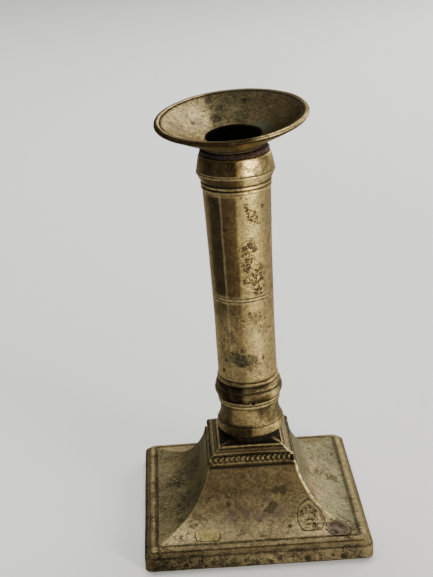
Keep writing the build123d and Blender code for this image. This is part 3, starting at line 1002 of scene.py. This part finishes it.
PAN_SLOPE = (0.045, 0.100)
SCRIBED_RADIUS = 26.0
FOOT_TOP = 22.4
SHAFT_TOP = 98.4
COLLAR_TOP = 111.7
FLANGE_TOP = 113.6
PAN_NECK_Z = FLANGE_TOP + 0.15 + 12.6 * math.hypot(*PAN_SLOPE)
PIN_HEIGHT = 14.7
PIN_AZIMUTH = math.radians(273.5)


def foot_outline():
    """Foot: flange, cavetto neck, two fine rings, torus, groove and top lip."""
    points = [(3.2, 0, 0.1), (12.9, 0, 0.25), (13.15, 0.5, 0.3), (13.05, 3.4, 0.3)]
    points += [(12.75, 3.75, 0.1), (12.7, 4.1, 0.1)]
    points += arc((12.6, 4.2), (11.5, 7.9), (11.85, 11.3), 12)
    points += [(11.85, 11.35, 0.05), (12.15, 11.55, 0.2), (12.15, 12.4, 0.2), (11.75, 12.62, 0.05)]
    points += [(11.75, 12.75, 0.05), (12.35, 12.95, 0.2), (12.35, 13.75, 0.2), (12.0, 13.95, 0.05)]
    points += arc((12.05, 14.0), (13.25, 16.0), (12.9, 18.2), 12)
    points += [(12.85, 18.3, 0.05), (12.7, 18.4, 0.05)]
    points += arc((12.8, 18.5), (12.55, 19.8), (11.7, 20.8), 8)
    points += [(11.6, 20.95, 0.1), (12.05, 21.2, 0.3), (12.05, 22.15, 0.3), (11.7, FOOT_TOP, 0.1)]
    points += [(9.8, FOOT_TOP), (9.8, 3.0), (3.2, 3.0)]
    return divided(rounded(points), 0.6)


def pin_frame(out):
    """Frame that looks out along the pin, from out millimetres off the column's axis."""
    toward = polar(1.0, PIN_AZIMUTH)
    turn = toward.to_track_quat("Z", "Y").to_matrix().to_4x4()
    return COLUMN @ Matrix.Translation((toward * out + Vector((0, 0, PIN_HEIGHT))) * MM) @ turn


def column_foot():
    """The foot, with the pin's hole drilled in it and the burr thrown up beside the hole."""
    foot = lathe("turned_foot", foot_outline(), COLUMN)
    dent(foot, 0.07, 9.0, 3.0)
    face_outward(foot)
    place = pin_frame(12.0)
    drill_outline = [Vector(point) for point in ((0.02, -2.6), (1.0, -2.6), (1.0, 3.0), (0.02, 3.0))]
    drill = lathe("drill", drill_outline, place, 32)
    face_outward(drill)
    cut(foot, drill)
    burr_outline = rounded([(1.0, 0.1, 0.1), (1.3, 0.1, 0.1), (1.28, 0.85, 0.12), (1.02, 0.8, 0.1)])
    return join(foot, lathe("burr", burr_outline, place, 40, 0.2))


def shaft_radius(height):
    """Radius of the shaft, which widens slowly towards its head."""
    share = max(0.0, (height - 40.0) / (SHAFT_TOP - 40.0))
    return 11.5 + 1.3 * share ** 1.5


def column_shaft():
    """The shaft, with its pair of incised lines and its spigot hidden in the foot."""
    line_half, line_depth = 0.32, 0.26
    points = [(8.3, 5.6), (9.7, 5.6), (9.7, FOOT_TOP + 0.05)]
    height = FOOT_TOP + 0.1
    while height < SHAFT_TOP:
        points.append((shaft_radius(height), height))
        height += 0.9
        if 55.5 < height < 58.3:
            for line in (56.25, 57.6):
                radius = shaft_radius(line)
                points += [(radius, line - line_half, 0.08), (radius - line_depth, line, 0.05)]
                points += [(radius, line + line_half, 0.08)]
            height = 58.4
    points += [(12.8, SHAFT_TOP), (12.3, SHAFT_TOP + 0.05), (12.3, 107.4), (11.65, 107.4)]
    points += [(11.65, 86.0), (9.9, 84.0), (9.9, 25.4), (8.3, FOOT_TOP)]
    shaft = lathe("tapering_shaft", divided(rounded(points), 1.2), COLUMN)
    dent(shaft, 0.09, 12.0, 5.0)
    return shaft


def column_collar():
    """Collar: bead lines, a swelling with an incised ridge, and a plain lip."""
    points = [(12.35, SHAFT_TOP), (12.85, SHAFT_TOP, 0.1), (12.95, SHAFT_TOP + 0.15, 0.1)]
    points += arc((12.95, 98.6), (13.2, 99.2), (12.95, 99.75), 5)
    points += [(12.75, 99.95, 0.05)]
    points += arc((12.9, 100.1), (13.3, 100.75), (13.0, 101.35), 5)
    points += [(12.85, 101.55, 0.05), (13.15, 101.75, 0.15)]
    points += arc((13.25, 101.9), (13.9, 103.1), (14.5, 104.4), 5)
    points += [(14.75, 104.85, 0.3), (14.55, 105.25, 0.1), (14.25, 105.4, 0.05), (14.5, 105.65, 0.15)]
    points += arc((14.45, 105.8), (14.05, 108.4), (13.45, 110.9), 9)
    points += [(13.3, 111.4, 0.2), (13.0, COLLAR_TOP, 0.2), (11.75, COLLAR_TOP, 0.1)]
    points += [(11.75, 107.5), (12.35, 107.4)]
    collar = lathe("turned_collar", divided(rounded(points), 0.6), COLUMN)
    dent(collar, 0.08, 8.0, 9.0)
    return collar


def packing():
    """Packing round the nozzle: a sleeve, and a ragged crust over the collar's lip."""
    points = [(10.97, 93.0, 0.1), (11.55, 93.0, 0.2), (11.55, COLLAR_TOP + 0.1, 0.05)]
    points += [(12.75, COLLAR_TOP + 0.08, 0.2), (12.95, 112.4, 0.3), (12.7, 113.4, 0.3)]
    points += [(12.2, FLANGE_TOP - 0.06, 0.2), (10.97, FLANGE_TOP - 0.06)]
    piece = lathe("packing_wrap", divided(rounded(points), 0.35, 0.1), COLUMN, 220)
    for vertex, local, radius, height in column_points(piece):
        if height > COLLAR_TOP and radius > 11.6:
            rag = noise.noise(vertex.co / (0.9 * MM)) * 0.30 + noise.noise(vertex.co / (3.0 * MM)) * 0.25
            grow = 1 + (rag - 0.05) / radius
            drop = 0.22 * abs(noise.noise(vertex.co / (1.3 * MM))) * max(0.0, height - 112.4)
            vertex.co = COLUMN @ Vector((local.x * grow, local.y * grow, local.z - drop * MM))
    return piece


def pan_place():
    """Frame of the pan, bent out of square with the column."""
    across = Vector((1, 0, PAN_SLOPE[0])).normalized()
    upward = Vector((-PAN_SLOPE[0], -PAN_SLOPE[1], 1)).normalized()
    turn = Matrix((across, upward.cross(across), upward)).transposed().to_4x4()
    return COLUMN @ Matrix.Translation((0, 0, PAN_NECK_Z * MM)) @ turn


def drip_pan():
    """Conical pan: short neck, swelling underside, rounded edge, flat border, scribed line and dish."""
    points = [(10.7, 0.0), (12.4, 0.0, 0.15), (12.9, 0.45, 0.2), (12.75, 0.95, 0.15)]
    points += arc((12.75, 1.0), (20.0, 4.65), (27.45, 8.9), 16)
    points += arc((27.5, 8.95), (28.36, 10.1), (27.85, 10.75), 6)
    points += [(27.45, 10.8, 0.2), (26.3, 10.5, 0.1), (SCRIBED_RADIUS, 10.1, 0.05), (25.7, 10.3, 0.1)]
    points += arc((25.55, 10.2), (18.0, 5.7), (11.2, 2.5), 18)
    points += [(10.7, 2.42)]
    pan = lathe("conical_pan", divided(rounded(points), 0.8), pan_place(), 220, 0.4)
    dent(pan, 0.13, 11.0, 12.0)
    return pan


def candle_socket():
    """Tube for the candle; its mouth is trimmed to follow the pan and stands as a thin lip."""
    top = PAN_NECK_Z + 2.78
    bore, outside = 10.2, 10.9
    points = [(bore, 89.0), (outside, 89.0, 0.1), (outside, top, 0.25), (10.62, top, 0.1)]
    points += [(10.4, top - 0.5, 0.2), (bore, top - 1.1)]
    socket = lathe("socket_tube", divided(rounded(points), 1.2), COLUMN)
    # The bore is marked for painted shade, nearly black.
    painted_bore_shade = socket.data.attributes["painted_bore_shade"].data
    for vertex, local, radius, height in column_points(socket):
        if radius < (bore + outside) / 2:
            painted_bore_shade[vertex.index].value = 1.0
        share = min(1.0, max(0.0, (height - 106.0) / (top - 108.0)))
        local.z += share * (PAN_SLOPE[0] * local.x + PAN_SLOPE[1] * local.y)
        vertex.co = COLUMN @ local
    return socket


def socket_floor():
    """Disc that closes the socket, slightly dished, with a turned edge."""
    points = [(0.05, 87.85), (10.5, 87.8, 0.2), (10.9, 88.1, 0.1), (10.9, 88.98), (9.6, 89.0)]
    points += [(0.05, 88.85)]
    return lathe("socket_disc", divided(rounded(points), 1.2), COLUMN, 96)


def foot_pin():
    """Pin sunk in the foot's hole, with a domed end."""
    points = [(0.02, 7.9), (0.8, 7.9, 0.1), (0.95, 8.1, 0.1), (0.95, 11.6, 0.2), (0.5, 12.0, 0.2)]
    points += [(0.02, 12.1)]
    return lathe("sunk_pin", divided(rounded(points), 0.6, 0.1), pin_frame(0.0), 32, 0.2)


def tie_bolt():
    """Bolt with a domed head, and a thread cut below the nut."""
    points = [(0.05, -16.6), (2.6, -16.6, 0.2), (3.0, -16.2, 0.1), (3.0, 3.0), (5.2, 3.0, 0.3)]
    points += [(5.5, 3.4, 0.2), (5.4, 4.6, 0.6), (3.4, 5.8, 0.6), (0.05, 6.0)]
    bolt = lathe("domed_bolt", divided(rounded(points), 0.16, 0.05), COLUMN, 64, 0.2)
    thread_pitch, thread_depth, thread_top = 1.1, 0.32, -8.0
    for vertex, local, radius, height in column_points(bolt):
        if height < thread_top and radius > 2.5:
            phase = height / thread_pitch - math.atan2(local.y, local.x) / (2 * math.pi)
            sink = abs((phase % 1.0) * 2 - 1) * thread_depth * min(1.0, thread_top - height)
            grow = 1 - sink / radius
            vertex.co = COLUMN @ Vector((local.x * grow, local.y * grow, local.z))
    return bolt


def tie_washer():
    """Washer, slightly dished."""
    points = [(3.2, -10.4, 0.1), (7.4, -10.4, 0.2), (7.5, -9.2, 0.2), (7.3, -9.0, 0.1), (3.2, -9.0, 0.1)]
    return lathe("iron_washer", divided(rounded(points), 0.8, 0.1), COLUMN, 72, 0.2)


def tie_nut():
    """Square nut with its corners chamfered by turning."""
    half, corner_radius = 5.5, 7.45
    chamfers = [(-14.4, 6.364), (-14.1, 7.03), (-13.7, corner_radius), (-10.7, corner_radius)]
    chamfers += [(-10.5, 7.252), (-10.4, 7.104)]
    around = 72
    angles = [2 * math.pi * (index + 0.5) / around for index in range(around)]
    loops = []
    for height, limit in chamfers:
        reaches = [half / max(abs(math.cos(angle)), abs(math.sin(angle))) for angle in angles]
        loops.append([on_column(min(r, limit), angle, height) for r, angle in zip(reaches, angles)])
    for radius, height in ((3.05, -10.4), (3.05, -14.1), (3.4, -14.4)):
        loops.append([on_column(radius, angle, height) for angle in angles])
    wear_and_highlight = [0.0, 0.6, 0.6, 0.6] + [0.0] * 5
    grime_and_shade = [0.0] * 6 + [0.4] * 3
    return skin("square_nut", loops, wear_and_highlight, grime_and_shade)


# ---------------------------------------------------------------- marks

# Places in millimetres, radii and strengths of the dark spots, pink stains and scabs of the base.
BASE_SPOTS = [
    ((6.5, -24.2, 14.3), 1.9, 0.7), ((4.5, -25.2, 13.3), 1.4, 0.6), ((8.3, -20.8, 18.8), 2.0, 0.55),
    ((10.9, -20.8, 18.7), 2.3, 0.5), ((-10.5, -23.5, 15.1), 1.3, 0.75), ((12.6, -32.3, 9.5), 1.2, 0.8),
    ((1.3, -29.5, 10.7), 0.9, 0.6), ((19.8, -29.8, 10.7), 0.9, 0.95), ((21.2, -31.0, 10.1), 0.9, 1.0),
    ((22.6, -32.2, 9.6), 0.8, 1.0), ((29.0, -30.5, 10.5), 1.0, 0.9), ((28.0, -33.5, 9.6), 0.9, 0.8),
    ((-30.0, -20.0, 10.5), 1.6, 0.6), ((-26.0, -8.0, 13.0), 2.4, 0.5), ((-31.0, 4.0, 10.3), 2.0, 0.5),
]
BASE_PINK = [
    ((-9.0, -27.5, 11.6), 3.2, 0.7), ((-4.0, -26.5, 12.2), 2.6, 0.6), ((2.0, -27.2, 11.8), 3.0, 0.7),
    ((8.0, -26.5, 12.0), 3.4, 0.7), ((-13.0, -28.5, 11.2), 2.2, 0.5), ((5.0, -22.0, 16.0), 2.4, 0.5),
]
BASE_SCABS = [
    ((20.5, -28.5, 11.0), 6.5, 0.75), ((5.5, -24.5, 14.0), 4.5, 0.7), ((-34.0, -10.0, 10.0), 10.0, 0.5),
    ((-26.0, 6.0, 12.0), 11.0, 0.9), ((-24.0, -14.0, 13.0), 10.0, 0.9), ((32.0, -34.0, 9.0), 6.0, 0.7),
    ((-43.4, -38.0, 3.0), 8.0, 0.9), ((-43.4, -20.0, 3.0), 11.0, 0.9), ((-43.4, 5.0, 3.0), 12.0, 0.7),
    ((-41.0, -30.0, 7.9), 6.0, 0.5), ((-41.0, -8.0, 7.9), 8.0, 0.5),
]
CORNER_SCABS = [
    ((20.5, -28.5, 11.0), 6.0, 1.0), ((23.5, -31.5, 10.0), 5.0, 1.0), ((18.0, -32.0, 10.0), 4.0, 0.9),
]

# Marks on the front fascia: distance to the right, height, radius and strength.
FASCIA_SPOTS = [
    (-41.5, 3.6, 1.2, 0.9), (-30.5, 3.2, 1.0, 0.9), (-26.0, 3.4, 0.8, 0.8), (-20.5, 1.2, 1.0, 0.9),
    (-15.0, 3.6, 0.7, 0.8), (4.0, 1.4, 1.1, 0.9), (12.5, 3.4, 0.7, 0.9), (23.0, 1.0, 0.8, 0.8),
    (37.5, 1.2, 1.0, 0.8), (-39.5, 1.4, 1.6, 0.9), (-36.5, 2.4, 1.3, 0.9), (-33.0, 1.0, 1.5, 0.8),
    (-28.0, 2.0, 1.2, 0.9), (-24.0, 0.9, 1.5, 0.8), (-17.7, 2.4, 1.3, 0.9), (-12.5, 1.0, 1.1, 0.8),
    (-5.4, 2.6, 1.0, 0.9), (-0.8, 1.2, 1.3, 0.9), (7.7, 2.8, 1.5, 0.9), (18.0, 2.0, 1.7, 0.95),
    (27.7, 2.6, 0.9, 0.9), (31.6, 1.7, 1.6, 0.95), (34.0, 3.9, 0.7, 0.8),
]
FASCIA_SCABS = [
    (-38.0, 2.0, 10.0, 1.0), (-25.0, 1.5, 9.0, 1.0), (-13.0, 1.2, 7.0, 0.9), (0.0, 1.0, 7.0, 0.8),
    (18.0, 1.5, 8.0, 0.6), (34.0, 2.0, 7.0, 0.7),
]

# Marks on the shaft: degrees round the column, height above the seat, radius and strength.
SHAFT_MARKS = [
    (-80, 94.6, 0.7, 1.0), (-79, 93.5, 0.75, 1.0), (-78, 92.4, 0.75, 1.0), (-77, 91.3, 0.7, 1.0),
    (-76, 90.2, 0.65, 0.9), (-74, 89.0, 0.8, 1.0), (-70, 88.2, 0.6, 0.9), (-64, 87.6, 0.6, 0.9),
    (-59, 87.0, 0.7, 0.8), (-48, 93.0, 1.0, 0.9), (-119, 85.3, 0.9, 0.9),
    (-77, 79.1, 1.1, 0.8), (-86, 77.4, 1.3, 0.9), (-66, 76.7, 1.4, 0.9), (-89, 75.1, 0.9, 0.8),
    (-87, 97.6, 0.5, 0.9), (-77, 96.9, 0.5, 0.8), (-84, 51.6, 0.6, 0.9), (-62, 51.1, 0.6, 0.8),
    (-51, 48.3, 0.6, 0.8), (-94, 48.9, 0.6, 0.9), (-95, 46.4, 0.5, 0.8), (-40, 43.8, 0.8, 0.8),
    (-25, 40.9, 0.7, 0.8), (-60, 32.2, 0.7, 0.9), (-101, 36.4, 1.1, 0.9), (-93, 30.1, 1.0, 0.8),
    (-120, 35.0, 0.8, 0.8), (-137, 31.6, 1.0, 0.8), (-145, 26.8, 1.1, 0.8),
]
SHAFT_SCABS = [
    (-68, 90.0, 3.2, 1.0), (-78, 77.5, 4.4, 1.0), (-78, 71.0, 4.6, 1.0), (-62, 67.0, 4.8, 1.0),
    (-80, 64.5, 3.2, 1.0), (-60, 61.5, 4.2, 1.0), (-72, 50.0, 3.5, 0.6), (-58, 44.0, 3.0, 0.5),
    (-100, 33.5, 5.0, 0.9), (-82, 30.0, 4.0, 0.7),
]
SHAFT_STAINS = [
    (-118, 33.5, 3.0, 0.6), (-106, 32.3, 3.2, 0.7), (-94, 32.0, 3.0, 0.65), (-83, 33.0, 2.4, 0.55),
]
PAN_GREEN = [
    ((10.5, 4.0, 156.5), 4.0, 0.75), ((12.5, -1.0, 156.0), 3.2, 0.7), ((9.0, 9.0, 157.5), 2.4, 0.5),
]
PAN_PINK = [
    ((-17.0, -6.0, 158.5), 4.5, 0.6), ((-22.0, 3.0, 161.0), 3.5, 0.6), ((-14.0, 10.0, 160.5), 4.0, 0.6),
    ((-10.0, -10.0, 157.0), 3.5, 0.5), ((-18.0, 12.0, 163.0), 3.0, 0.6),
]
PAN_MARKS = [
    ((-7.0, 13.0, 160.5), 3.4, 0.75), ((-9.5, 20.5, 165.0), 2.4, 0.7), ((-15.5, 9.0, 160.0), 1.8, 0.8),
    ((-2.0, 9.0, 159.0), 3.0, 0.5), ((21.0, 13.0, 164.0), 2.6, 0.6), ((4.0, 20.0, 164.0), 1.2, 0.8),
    ((-18.0, -4.0, 159.0), 1.0, 0.8), ((-20.0, 4.0, 160.5), 0.8, 0.8), ((-12.0, 3.0, 158.0), 0.8, 0.8),
]


def on_shaft(marks):
    """Marks round the column turned into places in millimetres."""
    spots = []
    for degrees, height, radius, strength in marks:
        place = on_column(shaft_radius(height), math.radians(degrees), height)
        spots.append((place / MM, radius, strength))
    return spots


def on_fascia(marks):
    """Marks on the front fascia turned into places in millimetres."""
    return [((x, -BASE_HALF, height), radius, strength) for x, height, radius, strength in marks]


# ---------------------------------------------------------------- the whole


def build():
    """Makes every visible piece."""
    aged = brass("aged brass base", base_tint_and_painted_shade, 0.0, BASE_SPOTS + on_fascia(FASCIA_SPOTS),
                 pink_spots=BASE_PINK, scabs=BASE_SCABS + on_fascia(FASCIA_SCABS),
                 pits=0.9, cloud=0.16, gloss=0.1, coarse=1.0)
    shaft_brass = brass("aged brass shaft", shaft_painted_light, 0.04, on_shaft(SHAFT_MARKS),
                        on_shaft(SHAFT_STAINS), scabs=on_shaft(SHAFT_SCABS),
                        pits=0.7, cloud=0.14, gloss=0.5, rubbed=0.55)
    foot_brass = brass("aged brass foot", foot_painted_light, pits=0.9, cloud=0.2, gloss=0.4,
                       coarse=0.9, rubbed=0.8, keen=0.5)
    collar_brass = brass("aged brass collar", collar_painted_light, 0.03, pits=0.8, cloud=0.2, gloss=0.5,
                         coarse=1.0, rubbed=0.8, keen=0.4)
    pan_brass = brass("aged brass pan", pan_painted_light, 0.0, PAN_MARKS, PAN_GREEN, PAN_PINK,
                      pits=0.8, cloud=0.3, gloss=0.3, coarse=0.8, rubbed=0.04)
    patch_brass = brass("patch brass", yellow_shade, 0.03, pits=0.2, gloss=0.2)
    corner_brass = brass("corner repair brass", base_tint_and_painted_shade, 0.02, scabs=CORNER_SCABS,
                         pits=0.9, gloss=0.2, coarse=1.0)
    solder = brass("solder", purple_shade, -0.02, pits=0.9, gloss=0.0)
    iron = iron_material()

    finish_piece(base_casting(), "candlestick", "aged_brass", aged, "base_casting")
    finish_piece(left_repair(), "candlestick", "patch_brass", patch_brass, "left_patch")
    finish_piece(corner_repair(), "candlestick", "aged_brass", corner_brass, "corner_patch")
    finish_piece(solder_fill(), "candlestick", "solder", solder, "corner_solder")
    finish_piece(column_foot(), "candlestick", "aged_brass", foot_brass, "column_foot")
    finish_piece(foot_pin(), "candlestick", "iron", iron, "foot_pin")
    finish_piece(column_shaft(), "candlestick", "aged_brass", shaft_brass, "column_shaft")
    finish_piece(column_collar(), "candlestick", "aged_brass", collar_brass, "column_collar")
    finish_piece(tie_bolt(), "candlestick", "iron", iron, "tie_bolt")
    finish_piece(tie_washer(), "candlestick", "iron", iron, "tie_washer")
    finish_piece(tie_nut(), "candlestick", "iron", iron, "tie_nut")
    finish_piece(packing(), "packing", "packing", packing_material(), "packing_sleeve")
    finish_piece(drip_pan(), "nozzle", "pan_brass", pan_brass, "drip_pan")
    finish_piece(candle_socket(), "nozzle", "pan_brass", pan_brass, "candle_socket")
    finish_piece(socket_floor(), "nozzle", "pan_brass", pan_brass, "socket_floor")


add_camera()
add_studio()
build()
bpy.context.view_layer.update()
